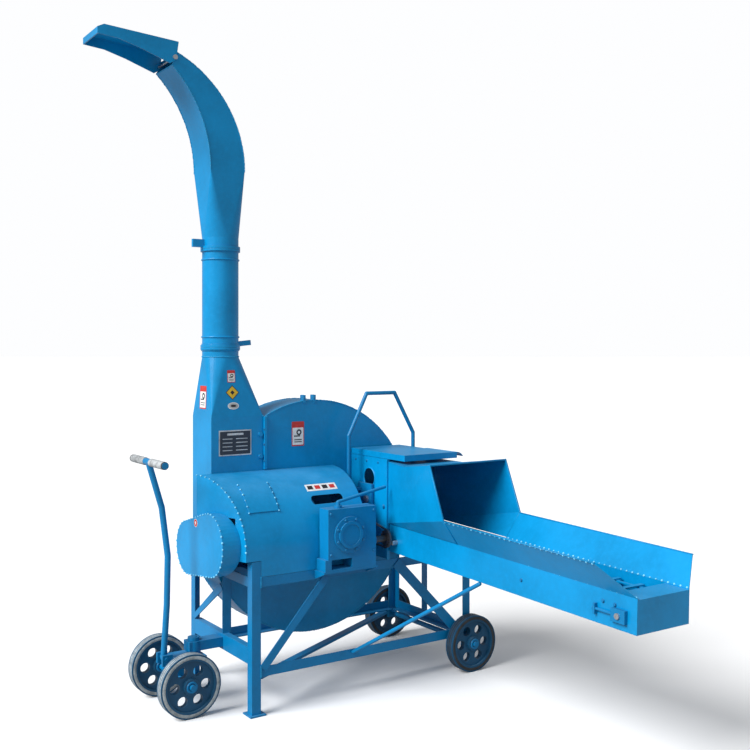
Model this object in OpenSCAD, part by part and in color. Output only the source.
// Forage chopper and hammer mill on a wheeled frame: a disc with knives, paddles and swinging hammers turns
// in a round casing, a trough and two rollers feed it from the front, and it blows the cut feed up a spout.
// Origin: on the ground under the outer corner of the front left leg. +X runs right along the front,
// +Y runs to the rear, +Z is up.

/* [Frame] */
// Length of the frame along X
frame_l = 1116; // [1100:2:1130]
// Depth of the frame along Y
frame_w = 600; // [595:1:605]
// Height of the left legs
leg_h = 617; // [614:1:618]
// Width of the frame's angle iron
iron_w = 40; // [36:1:42]
// Thickness of the frame's angle iron
iron_t = 4; // [3:0.5:5]
// Outer radius of all four tyres
tyre_r = 127; // [124:1:128]
// Distance between the steered wheels
steer_track = 319; // [310:1:330]

/* [Chopping drum] */
// Outer radius of the drum casing
drum_r = 515; // [513:1:517]
// Depth of the drum casing along Y
drum_w = 192; // [190:1:196]
// Distance of the drum's axis from the left legs
shaft_x = 455; // [453:1:457]
// Height of the drum's axis
shaft_z = 725; // [723:1:727]
// Sheet thickness of casings and covers
sheet = 4; // [3:0.5:4]
// Number of knives, and of fan paddles
knife_count = 4; // [4]

/* [Blower pipe and spout] */
// Outer diameter of the blower pipe
pipe_d = 156; // [150:1:158]
// Height of the lower pipe joint
pipe_low_z = 1475; // [1465:1:1485]
// Height of the upper pipe joint
pipe_top_z = 1897; // [1890:1:1905]
// Width of the spout along X
spout_wx = 158; // [152:1:160]
// Width of the spout along Y
spout_wy = 172; // [168:1:176]

/* [Feed trough] */
// Inner width of the trough floor
trough_w = 245; // [240:1:250]
// Length of the trough
trough_l = 1380; // [1360:5:1400]
// Height of the trough's upright side walls
trough_h = 119; // [115:1:122]
// Outward and upward reach of the flared walls
flare = 72; // [68:1:74]
// Downward slope of the trough, in degrees
trough_tilt = 1.55; // [1.4:0.05:1.7]
// Radius of both feed rollers
roller_r = 56; // [54:1:57]

/* [Hidden] */
$fn = 64;
front_y = -25;                       // front plane of the frame
rear_y = front_y + frame_w;
drum_y = 262;                        // front plane of the drum
drum_back = drum_y + drum_w;
pipe_x = 41;
pipe_y = drum_y + drum_w / 2;
pipe_r = pipe_d / 2;
seam_x = 204;                        // upright seam between duct base and drum cover
duct_x0 = -45;
duct_top = 1179;
rail_z = 513;                        // underside of the top rails
hood_x0 = -112;                      // arched motor hood, left end at the drum
hood_cut = -26;                      // its left end at the front
hood_x1 = 549;
hood_r = drum_y - 1 - front_y;
hood_cz = 944 - hood_r;
house_x0 = 653;                      // roller housing
house_w = trough_w + 2 * sheet;
house_x1 = house_x0 + house_w;
feed_x = house_x0 + house_w / 2;
house_y0 = -40;
house_top = 990;
trough_y = -44;                      // inner end of the trough
trough_z = 592;
low_roller_z = 676;
up_roller_z = 800;
roller_y = 113;
axle_r = 12;
run_gap = 0.05;                      // radial clearance of running fits
wheel_x = 1096;
wheel_w = 46;
steer_x = -120;
steer_y = 275;
steer_axle_x = -207;
motor_y = 125;
motor_r = 128;
motor_x0 = -20;
motor_x1 = 330;
motor_z = shaft_z;
feed_gear_z = 655;                   // cross shaft that the worm turns
worm_r = 46;
worm_wheel_r = 22;
out_x = 545;
deflect_x = -205;
deflect_z = 2668;
bevel_far = 84;                      // outer pitch radius of the bevel gear
bevel_near = 56;
house_z0 = rail_z + iron_w + 2;

blue = [0.05, 0.45, 0.75];
steel = [0.6, 0.62, 0.64];
dark = [0.12, 0.13, 0.15];
pale = [0.75, 0.77, 0.78];

// ---- helpers ----

// Angle iron section, its corner at the origin
module angle_section(w = iron_w, t = iron_t) {
    polygon([[0, 0], [w, 0], [w, t], [t, t], [t, w], [0, w]]);
}

// Angle iron upright, legs along +X and +Y
module angle_z(len, w = iron_w) {
    linear_extrude(len) angle_section(w);
}

// Angle iron along X: one leg stands up at its front, one lies flat to the rear at the bottom
module angle_x(len, w = iron_w) {
    rotate([90, 0, 90]) linear_extrude(len) angle_section(w);
}

// Angle iron along Y, one leg upright at its -X side, one flat at the bottom
module angle_y(len, w = iron_w) {
    translate([0, len, 0]) rotate([90, 0, 0]) linear_extrude(len) angle_section(w);
}

// Flat bar between two points of a plane y = const
module bar_xz(x0, z0, x1, z1, w, t) {
    a = atan2(z1 - z0, x1 - x0);
    l = norm([x1 - x0, z1 - z0]);
    translate([x0, 0, z0]) rotate([0, -a, 0]) translate([0, 0, -w / 2]) cube([l, t, w]);
}

// Solid cylinder along Y, from y0 to y1
module rod_y(r, y0, y1) {
    translate([0, y1, 0]) rotate([90, 0, 0]) cylinder(r = r, h = y1 - y0);
}

// Solid cylinder along X, from x0 to x1
module rod_x(r, x0, x1) {
    translate([x0, 0, 0]) rotate([0, 90, 0]) cylinder(r = r, h = x1 - x0);
}

// Plate in an X-Z plane, from y0 to y1, of the 2-D outline that follows
module slab_y(y0, y1) {
    translate([0, y1, 0]) rotate([90, 0, 0]) linear_extrude(y1 - y0) children();
}

// Plate in a Y-Z plane, from x0 to x1, of the 2-D outline that follows
module slab_x(x0, x1) {
    translate([x0, 0, 0]) rotate([90, 0, 90]) linear_extrude(x1 - x0) children();
}

// Gear blank with tooth gaps cut into its rim, along Z
module gear(r, teeth, h, bore) {
    depth = 5;
    difference() {
        cylinder(r = r, h = h);
        translate([0, 0, -1]) cylinder(r = bore, h = h + 2);
        for (i = [0 : teeth - 1])
            rotate(i * 360 / teeth) translate([r - depth, -PI * r / teeth / 2, -1])
                cube([depth + 2, PI * r / teeth, h + 2]);
    }
}

// Plate with four corners a, b, c, d, thickened along v
module quad_plate(a, b, c, d, v) {
    f = [[0, 1, 2], [0, 2, 3], [6, 5, 4], [7, 6, 4], [0, 4, 5, 1], [1, 5, 6, 2], [2, 6, 7, 3], [3, 7, 4, 0]];
    polyhedron([a, b, c, d, a + v, b + v, c + v, d + v],
        cross(b - a, c - a) * v > 0 ? f : [for (x = f) [for (i = [len(x) - 1 : -1 : 0]) x[i]]]);
}

// Children twice: as they are, and mirrored to the other side of x = 0
module both_sides() {
    children();
    mirror([1, 0, 0]) children();
}

// Hex bolt head with washer, axis along +Z
module bolt_head(d) {
    cylinder(d = 2 * d, h = d / 6);
    translate([0, 0, d / 6]) cylinder(d = 1.7 * d, h = 0.65 * d, $fn = 6);
}

// ---- frame ----

foot = 70;
foot_t = 6;
foot_hole_r = 6.5;

module foot_plate() {
    difference() {
        translate([-12, -12, 0]) cube([foot, foot, foot_t]);
        translate([iron_w * 0.7, iron_w * 0.7, -1]) cylinder(r = foot_hole_r, h = foot_t + 2);
    }
}

module front_left_leg() {
    color(blue) translate([0, front_y, 0]) {
        foot_plate();
        translate([0, 0, foot_t]) angle_z(leg_h - foot_t);
    }
}

module rear_left_leg() {
    color(blue) translate([0, rear_y, 0]) mirror([0, 1, 0]) {
        foot_plate();
        translate([0, 0, foot_t]) angle_z(leg_h - foot_t);
    }
}

module right_posts() {
    post_z = tyre_r + axle_r + 12;
    color(blue) {
        translate([frame_l, front_y, post_z]) mirror([1, 0, 0]) angle_z(rail_z - post_z);
        translate([frame_l, rear_y, post_z]) rotate(180) angle_z(rail_z - post_z);
        for (y = [front_y, rear_y - 8])
            translate([0, y, 0]) difference() {
                slab_y(0, 8) polygon([[frame_l - 46, post_z], [frame_l, post_z],
                    [frame_l, tyre_r - 22], [frame_l - 46, tyre_r - 22]]);
                translate([wheel_x, 0, tyre_r]) rod_y(axle_r, -1, 9);
            }
    }
}

module front_rails() {
    x0 = iron_w + 0.2;
    low_len = frame_l - x0 - iron_w - 8;
    color(blue) translate([x0, front_y, 0]) {
        union() {
            translate([0, 0, rail_z]) angle_x(frame_l - x0, iron_w);
            // ledge that carries the gear block
            translate([block_x0 - 20 - x0, block_y0 - front_y, rail_z + iron_w - 8]) cube([264, 76, 8]);
            for (x = [block_x0 - 20, block_x0 + 236]) translate([x - x0, 0, 0]) slab_x(0, 8)
                polygon([[0.5, rail_z + 2], [0.5, rail_z + iron_w], [block_y0 - front_y, rail_z + iron_w - 8]]);
        }
        translate([0, iron_t, 152]) angle_x(low_len, iron_w);
        // middle rail in front of the drum
        translate([0, 240, rail_z]) angle_x(low_len, iron_w - 4);
    }
}

module rear_rails() {
    x0 = iron_w + 0.2;
    color(blue) translate([x0, rear_y, 0]) mirror([0, 1, 0]) {
        translate([0, 0, rail_z]) angle_x(frame_l - x0, iron_w);
        translate([0, iron_t, 152]) angle_x(frame_l - x0 - iron_w - 8, iron_w);
    }
}

module side_rails() {
    inner = frame_w - 2 * iron_w - 0.4;
    y0 = front_y + iron_w + 0.2;
    mid_y = drum_y - 14;
    color(blue) {
        // left channel, its flanges turned inward
        translate([0, y0, 204]) {
            cube([iron_t, inner, 66]);
            cube([30, inner, iron_t]);
            translate([0, 0, 62]) cube([30, inner, iron_t]);
        }
        translate([0, y0, rail_z]) angle_y(drum_y - 4 - y0);
        translate([0, mid_y, 270]) cube([iron_w, iron_t, rail_z - 270]);
        translate([frame_l, y0, 152]) mirror([1, 0, 0]) angle_y(inner);
        translate([frame_l, y0, rail_z]) mirror([1, 0, 0]) angle_y(inner);
        translate([frame_l - 8, 300, 192]) cube([8, 36, rail_z - 192]);
    }
}

module frame_braces() {
    t = 5;
    color(blue) {
        translate([0, front_y - t, 0]) bar_xz(48, 186, 342, 516, 34, t);
        translate([0, front_y - t, 0]) bar_xz(700, 535, 1040, 186, 44, t);
        // floor diagonal from the front left to the rear right, under the bottom rails
        translate([52, front_y + 14, 139.5]) rotate(atan2(frame_w - 60, frame_l - 120))
            cube([norm([frame_w - 60, frame_l - 120]) - 20, 34, 12]);
        // left end diagonal
        slab_x(-t, -0.1) polygon([[rear_y - 50, 272], [rear_y - 10, 272], [drum_y + 4, 480], [drum_y - 22, 456]]);
        // strut from the front bottom rail to the underside of the trough
        hull() {
            translate([475, front_y - 5, 182]) sphere(r = 8, $fn = 16);
            translate([house_x0 + 8, -640, trough_z - 26]) sphere(r = 8, $fn = 16);
        }
    }
}

// ---- drum casing ----

// Ring sector of the drum rim and its end plates, kept where the outline that follows covers it
module drum_shell() {
    difference() {
        intersection() {
            rod_y(drum_r, drum_y, drum_back);
            slab_y(drum_y - 1, drum_back + 1) children();
        }
        rod_y(drum_r - sheet, drum_y + sheet, drum_back - sheet);
    }
}

module drum_casing() {
    mouth_x0 = house_x0 - shaft_x + sheet;
    mouth_x1 = house_x1 - shaft_x - sheet;
    pad_z = rail_z + iron_w + 0.2 - shaft_z;
    color(blue) translate([shaft_x, 0, shaft_z]) difference() {
        union() {
            drum_shell() polygon([[-drum_r - 1, -drum_r - 1], [drum_r + 1, -drum_r - 1],
                [drum_r + 1, -1], [-drum_r - 1, -1]]);
            // pads on the rails
            translate([110, front_y + 242, pad_z]) cube([70, drum_y + 1 - front_y - 242, 8]);
            for (x = [-390, 190]) translate([x, drum_back - 1, pad_z]) cube([80, rear_y - drum_back - 3, 8]);
            // hinge brackets and knuckles
            for (y = [drum_y + 38, drum_back - 60]) {
                translate([drum_r - 4, y, -26]) cube([hinge_x - drum_r + 13, 22, 27]);
                translate([hinge_x, 0, hinge_z]) rod_y(9, y, y + 22);
            }
        }
        rod_y(34, drum_y - 1, drum_back + 1);
        slab_y(drum_y - 1, drum_y + sheet + 1)
            polygon([[mouth_x0, -80], [mouth_x1, -80], [mouth_x1, 0], [mouth_x0, 0]]);
        translate([hinge_x, 0, hinge_z]) rod_y(5 + run_gap, drum_y, drum_back);
    }
}

// Square duct beside the drum that tapers up to the round pipe
module duct_base() {
    w = seam_x - 6 - duct_x0;
    base_z = shaft_z + 2;
    neck_z = pipe_low_z - 40;
    color(blue) {
        difference() {
            translate([duct_x0, drum_y, base_z]) cube([w, drum_w, duct_top - base_z]);
            translate([duct_x0 + sheet, drum_y + sheet, base_z - 1])
                cube([w - 2 * sheet, drum_w - 2 * sheet, duct_top - base_z + 2]);
            translate([seam_x - 6 - sheet - 1, drum_y + sheet, base_z - 1])
                cube([sheet + 2, drum_w - 2 * sheet, duct_top - base_z - 40]);
        }
        difference() {
            hull() {
                translate([duct_x0, drum_y, duct_top]) cube([w, drum_w, 0.5]);
                translate([pipe_x, pipe_y, neck_z - 0.5]) cylinder(r = pipe_r, h = 0.5, $fn = 48);
            }
            hull() {
                translate([duct_x0 + sheet, drum_y + sheet, duct_top - 0.5])
                    cube([w - 2 * sheet, drum_w - 2 * sheet, 0.5]);
                translate([pipe_x, pipe_y, neck_z]) cylinder(r = pipe_r - sheet, h = 0.5, $fn = 48);
            }
        }
        translate([pipe_x, pipe_y, neck_z]) difference() {
            union() {
                cylinder(r = pipe_r, h = 40);
                translate([0, 0, 30]) cylinder(r = pipe_r + 7, h = 10);
            }
            translate([0, 0, -1]) cylinder(r = pipe_r - sheet, h = 42);
        }
    }
}

hinge_x = drum_r + 14;
hinge_z = 12;

module drum_cover() {
    flange_z = 222;                  // foot of the seam flange above the shaft
    flange_h = 230;
    color(blue) translate([shaft_x, 0, shaft_z]) difference() {
        union() {
            drum_shell() polygon([[seam_x - shaft_x, 2], [drum_r + 1, 2], [drum_r + 1, drum_r + 1],
                [seam_x - shaft_x, drum_r + 1]]);
            // seam flange
            difference() {
                translate([seam_x - 5 - shaft_x, drum_y - 16, flange_z])
                    cube([11, drum_w + 24, flange_h]);
                translate([seam_x - 6 - shaft_x, drum_y + sheet, flange_z - 22])
                    cube([13, drum_w - 2 * sheet, flange_h]);
            }
            // lifting lugs on the rim
            for (x = [-52, 0]) translate([x - 6, drum_y - 4, drum_r - 12]) cube([12, 30, 36]);
            // hinge leaf and knuckle
            translate([drum_r - 8, drum_y + 66, 3]) cube([14, drum_w - 132, 24]);
            translate([hinge_x, 0, hinge_z]) rod_y(9, drum_y + 61, drum_back - 61);
        }
        rod_y(40, drum_y - 1, drum_back + 1);
        translate([hinge_x, 0, hinge_z]) rod_y(5 + run_gap, drum_y + 20, drum_back - 20);
        translate([feed_x - shaft_x, 0, 40]) slab_y(drum_y - 1, drum_y + sheet + 1)
            square([trough_w, 120], center = true);
        rod_y(drum_r - sheet, drum_y + sheet, drum_back - sheet);
    }
}

module cover_hinge_pin() {
    color(steel) translate([shaft_x + hinge_x, 0, shaft_z + hinge_z]) {
        rod_y(5, drum_y + 34, drum_back - 30);
        rod_y(8, drum_y + 28, drum_y + 34);
    }
}

module cover_bolts() {
    color(steel) for (p = [[seam_x - 20, 1005], [seam_x - 20, 1100]])
        translate([p[0], drum_y - 0.2, p[1]]) rotate([90, 0, 0]) bolt_head(12);
}

module shear_bar() {
    color(steel) translate([house_x0 + sheet + 0.3, drum_y - 24, low_roller_z - 28]) difference() {
        cube([trough_w - 0.6, disc_y - 11 - drum_y + 24, 14]);
        for (x = [40, trough_w - 40]) translate([x, 10, -1]) cylinder(r = 5, h = 16);
    }
}

// ---- rotor ----

shaft_r = 25;
disc_y = drum_y + 36;
rear_disc_y = drum_back - 36;
pin_r = 300;

module main_shaft() {
    color(steel) translate([shaft_x, 0, shaft_z]) {
        rod_y(shaft_r, -96, drum_back + 76);
        rod_y(shaft_r + 12, disc_y + 14, rear_disc_y - 12);
    }
}

module bevel_gear() {
    h = (bevel_far - bevel_near) / 2;
    near_y = motor_y - bevel_far / 2 - 0.6;
    color(steel) translate([shaft_x, near_y, shaft_z]) rotate([-90, 0, 0]) difference() {
        union() {
            cylinder(r1 = bevel_far, r2 = bevel_near, h = h);
            translate([0, 0, -22]) cylinder(r = 46, h = 23);
        }
        translate([0, 0, -30]) cylinder(r = shaft_r, h = 60);
        for (i = [0 : 29]) rotate(i * 12) translate([bevel_near - 4, -3, -1]) rotate([0, atan(0.5), 0])
            translate([0, 0, h - 1]) cube([60, 6, 30]);
    }
}

module knife_disc() {
    color(blue) translate([shaft_x, disc_y, shaft_z]) rotate([-90, 0, 0]) difference() {
        union() {
            cylinder(r = 400, h = 14);
            translate([0, 0, 13]) cylinder(r = 70, h = 30);
        }
        translate([0, 0, -1]) cylinder(r = shaft_r, h = 60);
        for (i = [0 : knife_count - 1]) rotate(i * 90 + 45)
            translate([pin_r, 0, -1]) cylinder(r = 10, h = 16);
        translate([0, 0, 14]) difference() {
            cylinder(r = shaft_r + 12, h = 40);
            translate([0, 0, -1]) cylinder(r = shaft_r - 1, h = 42);
        }
    }
}

module rear_disc() {
    color(blue) translate([shaft_x, rear_disc_y - 12, shaft_z]) rotate([-90, 0, 0]) difference() {
        cylinder(r = 400, h = 12);
        translate([0, 0, -1]) cylinder(r = shaft_r, h = 14);
        for (i = [0 : knife_count - 1]) rotate(i * 90 + 45)
            translate([pin_r, 0, -1]) cylinder(r = 10, h = 14);
    }
}

module knives() {
    color(steel) translate([shaft_x, disc_y, shaft_z]) rotate([90, 0, 0])
        for (i = [0 : knife_count - 1]) rotate(i * 90 + 12) translate([110, -35, 0]) difference() {
            linear_extrude(10) polygon([[0, 0], [270, 0], [270, 70], [0, 60]]);
            for (x = [50, 135, 220]) translate([x, 36, -1]) cylinder(r = 6, h = 12);
            translate([-1, 0, 10]) rotate([28, 0, 0]) translate([0, -40, -10]) cube([300, 40, 20]);
        }
}

module fan_paddles() {
    color(blue) translate([shaft_x, 0, shaft_z]) for (i = [0 : knife_count - 1]) rotate([0, i * 90, 0])
        translate([372, disc_y + 14.2, -4]) {
            cube([108, rear_disc_y - 12 - disc_y - 14.4, 8]);
            translate([0, 0, -22]) cube([8, rear_disc_y - 12 - disc_y - 14.4, 23]);
        }
}

module hammer_pins() {
    color(steel) translate([shaft_x, 0, shaft_z]) for (i = [0 : knife_count - 1])
        rotate([0, i * 90 + 45, 0]) translate([pin_r, 0, 0]) rod_y(10, disc_y - 6, rear_disc_y + 6);
}

// Row of three hammers hanging from pin number i
module hammer_row(i) {
    gap = (rear_disc_y - 12 - disc_y - 14) / 3;
    a = i * 90 + 45;
    color(steel) translate([shaft_x + pin_r * cos(a), disc_y + 14, shaft_z - pin_r * sin(a)])
        for (k = [0 : 2]) translate([0, (k + 0.5) * gap - 5, 0]) difference() {
            slab_y(0, 10) polygon([[-20, -110], [20, -110], [20, 14], [8, 22], [-8, 22], [-20, 14]]);
            rod_y(10 + run_gap, -1, 11);
        }
}

module hammers_1() { hammer_row(0); }
module hammers_2() { hammer_row(1); }
module hammers_3() { hammer_row(2); }
module hammers_4() { hammer_row(3); }

// Pillow block behind the drum, on the rear top rail
module rear_bearing() {
    y0 = drum_back + 22;
    foot_z = rail_z + iron_w;
    color(blue) difference() {
        translate([shaft_x, 0, shaft_z]) union() {
            rod_y(58, y0, y0 + 46);
            translate([-42, y0, foot_z - shaft_z]) cube([84, 46, shaft_z - foot_z]);
            translate([-95, y0, foot_z - shaft_z]) cube([190, rear_y - y0 - 4.5, 16]);
        }
        translate([shaft_x, 0, shaft_z]) rod_y(shaft_r + run_gap, y0 - 1, y0 + 47);
    }
}

// ---- front gear block ----

block_x0 = 310;
cover_x = 414;
cover_z = 698;
block_x1 = out_x;
block_y0 = -100;
block_y1 = front_y - 3;
block_z0 = 600;
block_z1 = 808;

module gear_block() {
    wall = 12;
    foot_w = 30;
    color(blue) difference() {
        union() {
            translate([block_x0, block_y0, block_z0])
                cube([block_x1 - block_x0, block_y1 - block_y0, block_z1 - block_z0]);
            // round cover with a raised ring
            translate([cover_x, 0, cover_z]) rod_y(76, block_y0 - 8, block_y0 + 1);
            translate([cover_x, 0, cover_z]) rod_y(57, block_y0 - 15, block_y0 - 7);
            translate([block_x0 - 14, block_y0, rail_z + iron_w]) cube([foot_w, block_y1 - block_y0, 48]);
            translate([block_x1 - 4 * foot_w, block_y0, rail_z + iron_w])
                cube([4 * foot_w, block_y1 - block_y0, 48]);
            translate([block_x0 - 14, block_y0, rail_z + iron_w]) cube([block_x1 - block_x0 + 14, 70, 8]);
            translate([block_x1 - 1, -64, feed_gear_z]) rod_x(24, 0, 13);
        }
        translate([block_x0 + wall, block_y0 + wall, block_z0 + wall])
            cube([block_x1 - block_x0 - 2 * wall, block_y1 - block_y0 - 2 * wall,
                block_z1 - block_z0 - 2 * wall]);
        translate([shaft_x, 0, shaft_z]) rod_y(shaft_r + run_gap, block_y0 + 3, block_y1 + 1);
        translate([cover_x, 0, cover_z]) rod_y(44, block_y0 - 16, block_y0 - 11);
        translate([0, -64, feed_gear_z]) rod_x(14 + run_gap, block_x1 - wall - 1, block_x1 + 20);
    }
}

// Worm on the main shaft that turns the output shaft
module feed_worm() {
    pitch = 8;
    color(steel) translate([shaft_x, -86, shaft_z]) rotate([-90, 0, 0]) difference() {
        union() {
            cylinder(r = worm_r - 5, h = 5 * pitch);
            for (i = [0 : 4]) translate([0, 0, i * pitch]) cylinder(r = worm_r, h = pitch / 2);
        }
        translate([0, 0, -1]) cylinder(r = shaft_r, h = 50);
    }
}

module output_shaft() {
    color(steel) translate([0, -64, feed_gear_z]) {
        rod_x(14, 440, 640);
        translate([440, 0, 0]) rotate([0, 90, 0]) gear(worm_wheel_r, 15, 32, 13);
        translate([614, 0, 0]) rotate([0, 90, 0]) gear(34, 17, 8, 13);
    }
}

chain_x = 614;

// Endless chain between the output sprocket and the lower roller's sprocket
module drive_chain() {
    r0 = 34.4;
    r1 = 48.4;
    module loop(extra) {
        hull() {
            translate([-64, feed_gear_z]) circle(r = r0 + extra, $fn = 48);
            translate([roller_y, low_roller_z]) circle(r = r1 + extra, $fn = 48);
        }
    }
    color(dark) slab_x(chain_x, chain_x + 8) difference() {
        loop(7);
        loop(0);
    }
}

// ---- motor ----

module motor_housing() {
    base_z = rail_z + iron_w + 0.5;
    color(blue) translate([0, motor_y, motor_z]) difference() {
        union() {
            rod_x(motor_r - 8, motor_x0, motor_x1);
            for (i = [0 : 23]) rotate([i * 15, 0, 0]) translate([motor_x0 + 30, -2, motor_r - 9])
                cube([motor_x1 - motor_x0 - 60, 4, 9]);
            for (y = [-100, 60]) translate([motor_x0 + 80, y, base_z - motor_z]) cube([190, 40, 100]);
            translate([motor_x0 + 80, -130, base_z - motor_z]) cube([190, 250, 10]);
        }
        rod_x(19 + run_gap, motor_x0 + 20, motor_x1 + 1);
        rod_x(70, motor_x0 + 60, motor_x1 - 60);
    }
}

module motor_shaft() {
    near = shaft_x - bevel_near - 0.6;
    far = shaft_x - bevel_far - 0.6;
    color(steel) translate([0, motor_y, motor_z]) difference() {
        union() {
            rod_x(19, motor_x0 + 22, near);
            rod_x(69.5, motor_x0 + 66, motor_x1 - 66);
            translate([far, 0, 0]) rotate([0, 90, 0])
                cylinder(r1 = bevel_far / 2, r2 = bevel_near / 2, h = near - far);
        }
        for (i = [0 : 14]) rotate([i * 24, 0, 0]) translate([far - 1, -2.5, 0]) rotate([0, atan(0.5), 0])
            translate([0, 0, bevel_far / 2 - 4]) cube([60, 5, 20]);
    }
}

// Upright block with the plan of the motor hood, whose left end is cut at a slant
module hood_plan(inset) {
    linear_extrude(1200) polygon([[hood_x0 + inset, drum_y], [hood_cut + inset, front_y - 1],
        [hood_x1 + 1, front_y - 1], [hood_x1 + 1, drum_y]]);
}

slot_x0 = 308;                       // slot over the gear block
slot_x1 = 465;
slot_z = 831;
slot_h = 34;

// Quarter-round hood over the motor, open below
module motor_hood() {
    module outline(r) {
        intersection() {
            union() {
                translate([drum_y - 1, hood_cz]) circle(r = r, $fn = 96);
                translate([drum_y - 1 - r, rail_z]) square([r, hood_cz - rail_z]);
            }
            translate([drum_y - 1 - r, rail_z + iron_w + 1]) square([r, 600]);
        }
    }
    color(blue) difference() {
        intersection() {
            slab_x(hood_x0 - 9, hood_x1) outline(hood_r);
            hood_plan(0);
        }
        intersection() {
            slab_x(hood_x0 - 9, hood_x1 - sheet) outline(hood_r - sheet);
            hood_plan(sheet + 0.2);
        }
        translate([hood_x0 - 1, front_y - 5, rail_z]) cube([iron_w - hood_x0 + 2, 400, leg_h + 2 - rail_z]);
        // way from the motor's fan end into the end cover
        translate([hood_x0 - 1, motor_y - 90, leg_h + 10]) cube([110, 180, 160]);
        translate([shaft_x, 0, shaft_z]) rod_y(shaft_r + 4, front_y - 5, 10);
        // slot over the gear block
        translate([slot_x0 + slot_h / 2, 0, slot_z]) rod_y(slot_h / 2, -10, 80);
        translate([slot_x1 - slot_h / 2, 0, slot_z]) rod_y(slot_h / 2, -10, 80);
        translate([slot_x0 + slot_h / 2, -10, slot_z - slot_h / 2])
            cube([slot_x1 - slot_x0 - slot_h, 90, slot_h]);
    }
}

module hood_hatch() {
    a0 = 31;
    a1 = 60;
    color(blue) intersection() {
        slab_x(6, 142) difference() {
            translate([drum_y - 1, hood_cz]) circle(r = hood_r + 4, $fn = 96);
            translate([drum_y - 1, hood_cz]) circle(r = hood_r + 0.4, $fn = 96);
        }
        slab_x(0, 150) polygon([[drum_y, hood_cz],
            [drum_y - 500 * cos(a0), hood_cz + 500 * sin(a0)],
            [drum_y - 500 * cos(a1), hood_cz + 500 * sin(a1)]]);
    }
}

end_x0 = -115;

// Oval cover over the motor's fan end
module end_cover() {
    module oval(extra) {
        hull() {
            translate([130, 672]) circle(r = 128 + extra, $fn = 48);
            translate([354, 628]) circle(r = 112 + extra, $fn = 48);
        }
    }
    color(blue) difference() {
        slab_x(end_x0, hood_cut) oval(0);
        slab_x(end_x0 + sheet, hood_cut + 1) oval(-sheet);
        hood_plan(-0.3);
        translate([duct_x0 - 15.5, drum_y - 1, 0]) cube([200, 300, 1200]);
        translate([-12.5, front_y - 20, 0]) cube([80, 80, leg_h + 1]);
    }
}

module shift_lever() {
    x = 375;
    y = -70;
    z = block_z1 + 25;
    color(steel) {
        hull() {
            translate([x, y, z]) sphere(r = 7, $fn = 20);
            translate([x + 234, y, z + 44]) sphere(r = 7, $fn = 20);
        }
        translate([x, y, block_z1 + 0.3]) cylinder(r = 16, h = 10);
        translate([x, y, block_z1 + 0.3]) cylinder(r = 9, h = 26);
    }
}

// ---- feed rollers ----

module roller_housing() {
    color(blue) difference() {
        union() {
            translate([house_x0, house_y0, house_z0])
                cube([house_w, drum_y - 0.4 - house_y0, house_top - house_z0]);
            // front flanges
            for (x = [house_x0 - 10, house_x1 - 1])
                translate([x, house_y0, house_z0]) cube([11, 5, house_top - house_z0]);
        }
        translate([house_x0 + sheet, house_y0 - 1, house_z0 - 1])
            cube([trough_w, drum_y + 2 - house_y0, house_top - house_z0 + 2]);
        translate([0, roller_y, low_roller_z]) rod_x(15 + run_gap, house_x0 - 11, house_x1 + 1);
        // slots for the upper roller's shaft
        translate([0, roller_y, up_roller_z]) {
            rod_x(16, house_x0 - 1, house_x1 + 1);
            slab_x(house_x0 - 1, house_x1 + 1) polygon([[-16, 0], [16, 0], [44, 95], [-44, 95]]);
            translate([0, 0, 95]) rod_x(44, house_x0 - 1, house_x1 + 1);
        }
    }
}

module housing_lid() {
    lid_w = house_w + 30;
    curl_r = 40;
    y1 = drum_y - 4;
    color(blue) difference() {
        union() {
            difference() {
                translate([house_x0 - 2, -160, house_top + 0.3]) cube([lid_w, 160 + y1, 26]);
                translate([house_x0 + 2, -156, house_top - 1]) cube([lid_w - 8, 152 + y1, 23]);
            }
            // curled right edge
            translate([house_x0 + lid_w - 2.5, 0, house_top + 26.3 - curl_r]) difference() {
                rod_y(curl_r, -160, y1);
                rod_y(curl_r - sheet, -161, y1 + 1);
                translate([-2 * curl_r, -170, -2 * curl_r]) cube([2 * curl_r, 500, 4 * curl_r]);
                translate([-curl_r, -170, -2 * curl_r]) cube([3 * curl_r, 500, 2 * curl_r + 20]);
            }
        }
        // notch that the bail passes
        translate([house_x1 + 12, 60, house_top - 60]) cube([200, 300, 120]);
    }
}

// Feed roller with toothed bars and a shaft, along X from x0 to x1
module feed_roller(x0, x1, bars) {
    rod_x(15, x0, x1);
    rod_x(roller_r - 12, house_x0 + sheet + 3, house_x1 - sheet - 3);
    for (i = [0 : bars - 1]) rotate([i * 360 / bars, 0, 0])
        translate([house_x0 + sheet + 3, -4, roller_r - 16]) cube([trough_w - 6, 8, 16]);
}

module lower_roller() {
    color(steel) translate([0, roller_y, low_roller_z]) {
        feed_roller(chain_x - 6, house_x1 + 84, 10);
        translate([chain_x, 0, 0]) rotate([0, 90, 0]) gear(48, 23, 8, 14);
        translate([house_x1 + 58, 0, 0]) rotate([0, 90, 0]) gear(61.6, 26, 18, 14);
    }
}

module upper_roller() {
    color(steel) translate([0, roller_y, up_roller_z]) {
        feed_roller(house_x0 - 24, house_x1 + 84, 8);
        translate([house_x1 + 58, 0, 0]) rotate([0, 90, 0]) gear(61.6, 26, 18, 14);
    }
}

bail_y = 170;
bail_x0 = 580;
bail_x1 = 2 * feed_x - bail_x0 - 44;  // the far leg stands closer to the housing

// Bearing plates that slide up the slots on both sides of the housing
module roller_carriers() {
    for (x = [house_x0 - 16, house_x1 + 4.5]) color(blue) difference() {
        translate([x, roller_y - 40, up_roller_z - 26]) cube([11.5, 110, 96]);
        translate([0, roller_y, up_roller_z]) rod_x(15 + run_gap, x - 1, x + 13);
    }
}

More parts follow.
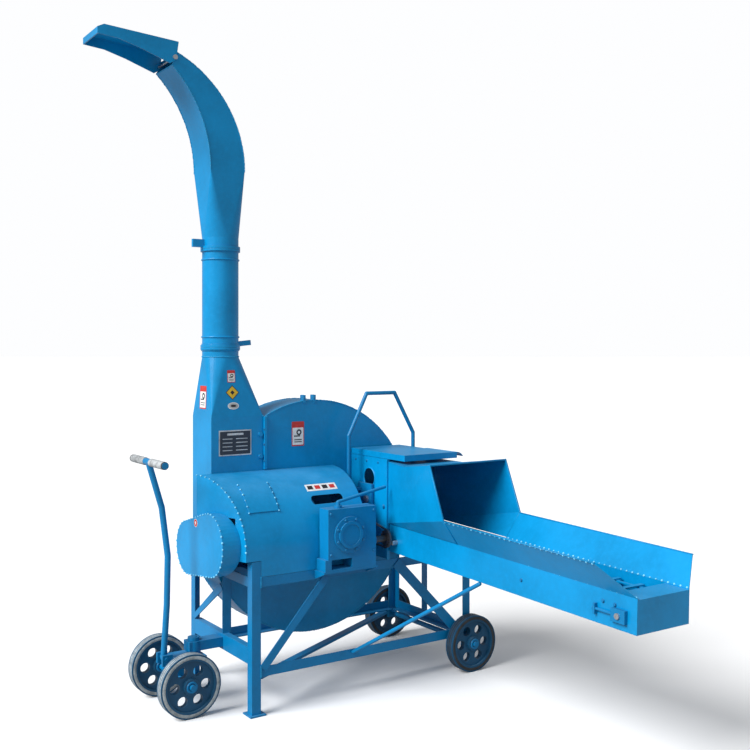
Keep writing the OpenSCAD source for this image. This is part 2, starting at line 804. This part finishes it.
module lifting_bail() {
    r = 9;
    top = 1268;
    pts = [[bail_x0, 840], [bail_x0, 1080], [bail_x0 + 95, top], [bail_x1 - 106, top],
        [bail_x1, 1080], [bail_x1, 840]];
    color(steel) for (i = [0 : 4]) hull() {
        translate([pts[i][0], bail_y, pts[i][1]]) sphere(r = r, $fn = 24);
        translate([pts[i + 1][0], bail_y, pts[i + 1][1]]) sphere(r = r, $fn = 24);
    }
    color(steel) {
        translate([bail_x0 - r, bail_y - 14, 834]) cube([house_x0 - 16.2 - bail_x0 + r, 26, 12]);
        translate([house_x1 + 16.4, bail_y - 14, 834]) cube([bail_x1 + r - house_x1 - 16.4, 26, 12]);
    }
}

// ---- trough ----

// Places its children in the trough's frame: inner end at the origin, floor middle on x = 0, -Y outward
module in_trough() {
    translate([feed_x, trough_y, trough_z]) rotate([trough_tilt, 0, 0]) children();
}

half_w = trough_w / 2;
near_cut = 125;                      // how far the top of each flared wall stops short of the outer end
far_cut = 45;

module flared_wall(cut_back) {
    low = trough_h - 1;
    high = trough_h + flare + 24;
    quad_plate([half_w + 1, -470, low], [half_w + 1, -trough_l, low],
        [half_w + flare, -trough_l + cut_back, high], [half_w + flare, -470, high], [3, 0, 0]);
}

module feed_trough() {
    t = sheet;
    ow = half_w + t;
    h = trough_h;
    l = trough_l;
    color(blue) in_trough() difference() {
        union() {
            translate([-ow, -l, 0]) cube([2 * ow, l, t]);
            both_sides() translate([half_w, -l, 0]) cube([t, l, h]);
            translate([-ow, -l, 0]) cube([2 * ow, t, h - 6]);
            flared_wall(far_cut);
            mirror([1, 0, 0]) flared_wall(near_cut);
            // tail cover over the idler
            translate([-half_w - 1, -l, h - 8]) cube([2 * half_w + 2, 100, 3]);
        }
        for (p = [[-l + 70, 48], [-52, 48]])
            translate([0, p[0], p[1]]) rod_x(10 + run_gap, -ow - 1, ow + 1);
    }
}

// Hood over the inner end of the trough, widening outward
module feed_hood() {
    t = 3;
    w = half_w + flare + 3.5;
    inner = half_w + 5;
    h = trough_h + 2;
    y1 = -374;
    y2 = -469;
    back_low = 6.9;
    back_high = 14;
    top = house_top - trough_z + 26;
    mid = trough_h + flare + 26;
    knee_y = -140;
    knee_z = house_top - trough_z - 14;
    color(blue) in_trough() difference() {
        union() {
            both_sides() quad_plate([inner, back_low, h], [w, y2, mid], [w, y1, top],
                [inner, back_high, top], [t, 0, 0]);
            both_sides() quad_plate([inner, back_low, h], [inner, y2, h], [w, y2, mid],
                [inner + 0.5, back_low, h + 2], [t, 0, 0]);
            intersection() {
                slab_x(-w - t, w + t) polygon([[back_high, knee_z], [knee_y, knee_z], [y1, top - t],
                    [y1, top], [knee_y, knee_z + t], [back_high, knee_z + t]]);
                linear_extrude(600) polygon([[-inner - t, back_high + 1], [inner + t, back_high + 1],
                    [w + t, y1 - 1], [-w - t, y1 - 1]]);
            }
        }
        slab_x(-w - 9, w + 9) polygon([[30, knee_z + t], [knee_y, knee_z + t], [y1, top], [y1, top + 90],
            [30, top + 90]]);
    }
}

// Endless slat chain lying along the trough floor
module slat_chain() {
    n = 12;
    l = trough_l;
    color(dark) in_trough() {
        for (x = [-90, 82]) difference() {
            slab_x(x, x + 8) hull() {
                translate([-l + 70, 48]) circle(r = 42);
                translate([-52, 48]) circle(r = 42);
            }
            slab_x(x - 1, x + 9) hull() {
                translate([-l + 70, 48]) circle(r = 36);
                translate([-52, 48]) circle(r = 36);
            }
        }
        for (i = [1 : n - 1]) translate([-110, -52 - i * (l - 122) / n, 90]) cube([220, 18, 5]);
    }
}

// Shaft with two sprockets across the trough, centred on x = 0
module trough_shaft(reach) {
    rod_x(10, -reach, reach);
    for (x = [-91, 81]) translate([x, 0, 0]) rotate([0, 90, 0]) gear(35.4, 11, 10, 9);
}

module head_shaft() {
    color(steel) in_trough() translate([0, -52, 48]) trough_shaft(half_w + 30);
}

module tail_shaft() {
    color(steel) in_trough() translate([0, -trough_l + 70, 48]) trough_shaft(half_w + 24);
}

module chain_tensioner() {
    ow = half_w + sheet;
    y0 = -trough_l + 20;
    color(blue) in_trough() for (s = [-1, 1]) translate([s > 0 ? ow + 0.2 : -ow - 14.2, y0, 0]) {
        difference() {
            translate([0, 20, 26]) cube([14, 60, 44]);
            translate([-1, 50, 48]) rod_x(10 + run_gap, 0, 16);
        }
        translate([7, 80, 48]) rotate([-90, 0, 0]) cylinder(r = 5, h = 70);
        translate([0, 150, 30]) cube([14, 8, 36]);
    }
}

// ---- blower pipe and spout ----

module blower_pipe() {
    z0 = pipe_low_z + 0.3;
    color(blue) translate([pipe_x, pipe_y, z0]) difference() {
        union() {
            cylinder(r = pipe_r, h = pipe_top_z - z0);
            cylinder(r = pipe_r + 7, h = 10);
            translate([0, 0, 10]) cylinder(r = pipe_r + 3, h = 6);
            translate([0, 0, pipe_top_z - z0 - 10]) cylinder(r = pipe_r + 7, h = 10);
            translate([pipe_r, -8, 4]) rotate([0, -6, 0]) cube([66, 16, 22]);
        }
        translate([0, 0, -1]) cylinder(r = pipe_r - sheet, h = pipe_top_z);
    }
}

spout_z = 2230;                      // seam between taper and curved duct
neck_z = 1945;                       // seam between round neck and taper
outer_r = 500;                       // radius of the spout's back
inner_r = 568;                       // radius of the spout's front, which narrows the duct upward
spout_turn = 67.4;
spout_right = pipe_x - 5 + spout_wx / 2;

// Side outline of the curved duct in the X-Z plane, its sheet inset by t, over the angles a0 to a1
module spout_outline(t, a0, a1) {
    c = [spout_right - outer_r, spout_z];
    reach = 900;
    difference() {
        intersection() {
            translate(c) circle(r = outer_r - t, $fn = 180);
            translate(c) polygon([[0, 0], for (a = [a0, (a0 + a1) / 2, a1]) reach * [cos(a), sin(a)]]);
        }
        translate([spout_right - spout_wx - inner_r, spout_z]) circle(r = inner_r + t, $fn = 180);
    }
}

// Spout: round neck, taper to a square, then a curved duct that narrows upward
module spout() {
    y0 = pipe_y - spout_wy / 2;
    y1 = pipe_y + spout_wy / 2;
    z0 = pipe_top_z + 0.3;
    x0 = spout_right - spout_wx;
    color(blue) difference() {
        union() {
            difference() {
                slab_y(y0, y1) spout_outline(0, 0, spout_turn);
                slab_y(y0 + sheet, y1 - sheet) spout_outline(sheet, -2, spout_turn + 2);
            }
            translate([pipe_x, pipe_y, z0]) difference() {
                union() {
                    cylinder(r = pipe_r, h = neck_z - z0);
                    cylinder(r = pipe_r + 7, h = 12);
                    translate([-pipe_r - 52, -8, 6]) cube([56, 16, 34]);
                }
                translate([0, 0, -1]) cylinder(r = pipe_r - sheet, h = 200);
            }
            difference() {
                hull() {
                    translate([pipe_x, pipe_y, neck_z]) cylinder(r = pipe_r, h = 0.5, $fn = 48);
                    translate([x0, y0, spout_z - 0.5]) cube([spout_wx, spout_wy, 0.5]);
                }
                hull() {
                    translate([pipe_x, pipe_y, neck_z - 0.5]) cylinder(r = pipe_r - sheet, h = 0.5, $fn = 48);
                    translate([x0 + sheet, y0 + sheet, spout_z])
                        cube([spout_wx - 2 * sheet, spout_wy - 2 * sheet, 1]);
                }
            }
        }
        translate([deflect_x, 0, deflect_z]) rod_y(5 + run_gap, y0 - 1, y1 + 1);
    }
}

// Deflector: a channel, open below, pivoted on the spout's end
module deflector() {
    y0 = pipe_y - spout_wy / 2 - 5;
    y1 = pipe_y + spout_wy / 2 + 5;
    side = [[17, 67], [-296, 84], [-323, 70], [-323, 44], [-235, 37], [-145, 14], [-20, -27], [6, -10]];
    inner = [[22, 63], [-296, 80], [-318.5, 68], [-319, -60], [40, -60]];
    color(blue) translate([deflect_x, 0, deflect_z]) difference() {
        slab_y(y0, y1) polygon(side);
        slab_y(y0 + sheet, y1 - sheet) polygon(inner);
        rod_y(5 + run_gap, y0 - 1, y1 + 1);
    }
}

module deflector_pin() {
    y0 = pipe_y - spout_wy / 2 - 5;
    y1 = pipe_y + spout_wy / 2 + 5;
    color(steel) translate([deflect_x, 0, deflect_z]) {
        rod_y(5, y0 - 4, y1 + 4);
        for (y = [y0 - 8, y1 + 0.3]) translate([0, y, 0]) rod_y(10, 0, 7.7);
    }
}

// ---- running gear ----

module rear_axle() {
    color(steel) translate([wheel_x, 0, tyre_r]) {
        rod_y(axle_r, front_y - 72, rear_y + 72);
    }
}

// Cast wheel with six round windows and a rubber tyre, on the axis y, from y = 0 to wheel_w
module wheel() {
    difference() {
        union() {
            difference() {
                rod_y(tyre_r, 0, wheel_w);
                rod_y(tyre_r - 26, -1, 10);
                rod_y(tyre_r - 26, wheel_w - 10, wheel_w + 1);
            }
            rod_y(32, -6, wheel_w + 6);
        }
        for (i = [0 : 5]) rotate([0, i * 60, 0]) translate([66, 0, 0]) rod_y(21, -1, wheel_w + 1);
        rod_y(axle_r + run_gap, -8, wheel_w + 8);
    }
}

module rear_wheels_left() {
    color(dark) translate([wheel_x, front_y - 10 - wheel_w, tyre_r]) wheel();
}

module rear_wheels_right() {
    color(dark) translate([wheel_x, rear_y + 10, tyre_r]) wheel();
}

module front_wheel_near() {
    color(pale) translate([steer_axle_x, steer_y - (steer_track + wheel_w) / 2, tyre_r]) wheel();
}

module front_wheel_far() {
    color(pale) translate([steer_axle_x, steer_y + (steer_track - wheel_w) / 2, tyre_r]) wheel();
}

module steer_bracket() {
    color(blue) difference() {
        union() {
            translate([steer_x - 30, steer_y - 30, 216]) cube([-steer_x + 29.8, 60, 40]);
            translate([steer_x, steer_y, 216]) cylinder(r = 34, h = 40);
        }
        translate([steer_x, steer_y, 200]) cylinder(r = 14 + run_gap, h = 80);
    }
}

module steer_axle() {
    reach = (steer_track + wheel_w) / 2 + 22;
    color(blue) {
        difference() {
            union() {
                translate([steer_axle_x - 20, steer_y - 60, 190]) cube([steer_x - steer_axle_x + 54, 120, 12]);
                translate([steer_axle_x - 20, steer_y - 60, tyre_r - 16]) cube([40, 120, 80]);
                translate([steer_x, steer_y, 202]) cylinder(r = 30, h = 13.6);
                translate([steer_x, steer_y, 202]) cylinder(r = 14, h = 70);
                translate([steer_x, steer_y, 256.4]) cylinder(r = 24, h = 14);
                for (y = [-34, 22]) translate([steer_axle_x - 62, steer_y + y, 178]) cube([44, 12, 44]);
            }
            translate([steer_axle_x, steer_y, tyre_r]) rod_y(axle_r, -61, 61);
            translate([steer_axle_x - 44, steer_y, 205]) rod_y(8 + run_gap, -40, 40);
        }
    }
    color(steel) translate([steer_axle_x, steer_y, tyre_r]) rod_y(axle_r, -reach, reach);
}

// Bowed tow handle, its foot pinned between the axle's ears, with a cross grip
module tow_handle() {
    r = 13;
    foot_x = steer_axle_x - 44;
    pts = [[foot_x, 205], [foot_x + 14, 420], [foot_x + 18, 620], [foot_x - 8, 820], [foot_x - 62, 1000]];
    color(blue) {
        for (i = [0 : 3]) hull() {
            translate([pts[i][0], steer_y, pts[i][1]]) sphere(r = r, $fn = 24);
            translate([pts[i + 1][0], steer_y, pts[i + 1][1]]) sphere(r = r, $fn = 24);
        }
        translate([foot_x, steer_y, 205]) rod_y(8, -38, 38);
    }
    color(pale) translate([foot_x - 64, steer_y, 1010]) rod_y(14, -178, 178);
}

module name_plate() {
    color(dark) translate([pipe_x - 52, drum_y - 1.7, duct_top - 164]) cube([152, 1.5, 108]);
}

front_left_leg();
rear_left_leg();
right_posts();
front_rails();
rear_rails();
side_rails();
frame_braces();
drum_casing();
duct_base();
drum_cover();
cover_hinge_pin();
cover_bolts();
shear_bar();
main_shaft();
bevel_gear();
knife_disc();
rear_disc();
knives();
fan_paddles();
hammer_pins();
hammers_1();
hammers_2();
hammers_3();
hammers_4();
rear_bearing();
gear_block();
feed_worm();
output_shaft();
drive_chain();
motor_housing();
motor_shaft();
motor_hood();
hood_hatch();
end_cover();
shift_lever();
roller_housing();
housing_lid();
lower_roller();
upper_roller();
roller_carriers();
lifting_bail();
feed_hood();
feed_trough();
slat_chain();
head_shaft();
tail_shaft();
chain_tensioner();
blower_pipe();
spout();
deflector();
deflector_pin();
rear_axle();
rear_wheels_left();
rear_wheels_right();
front_wheel_near();
front_wheel_far();
steer_bracket();
steer_axle();
tow_handle();
name_plate();
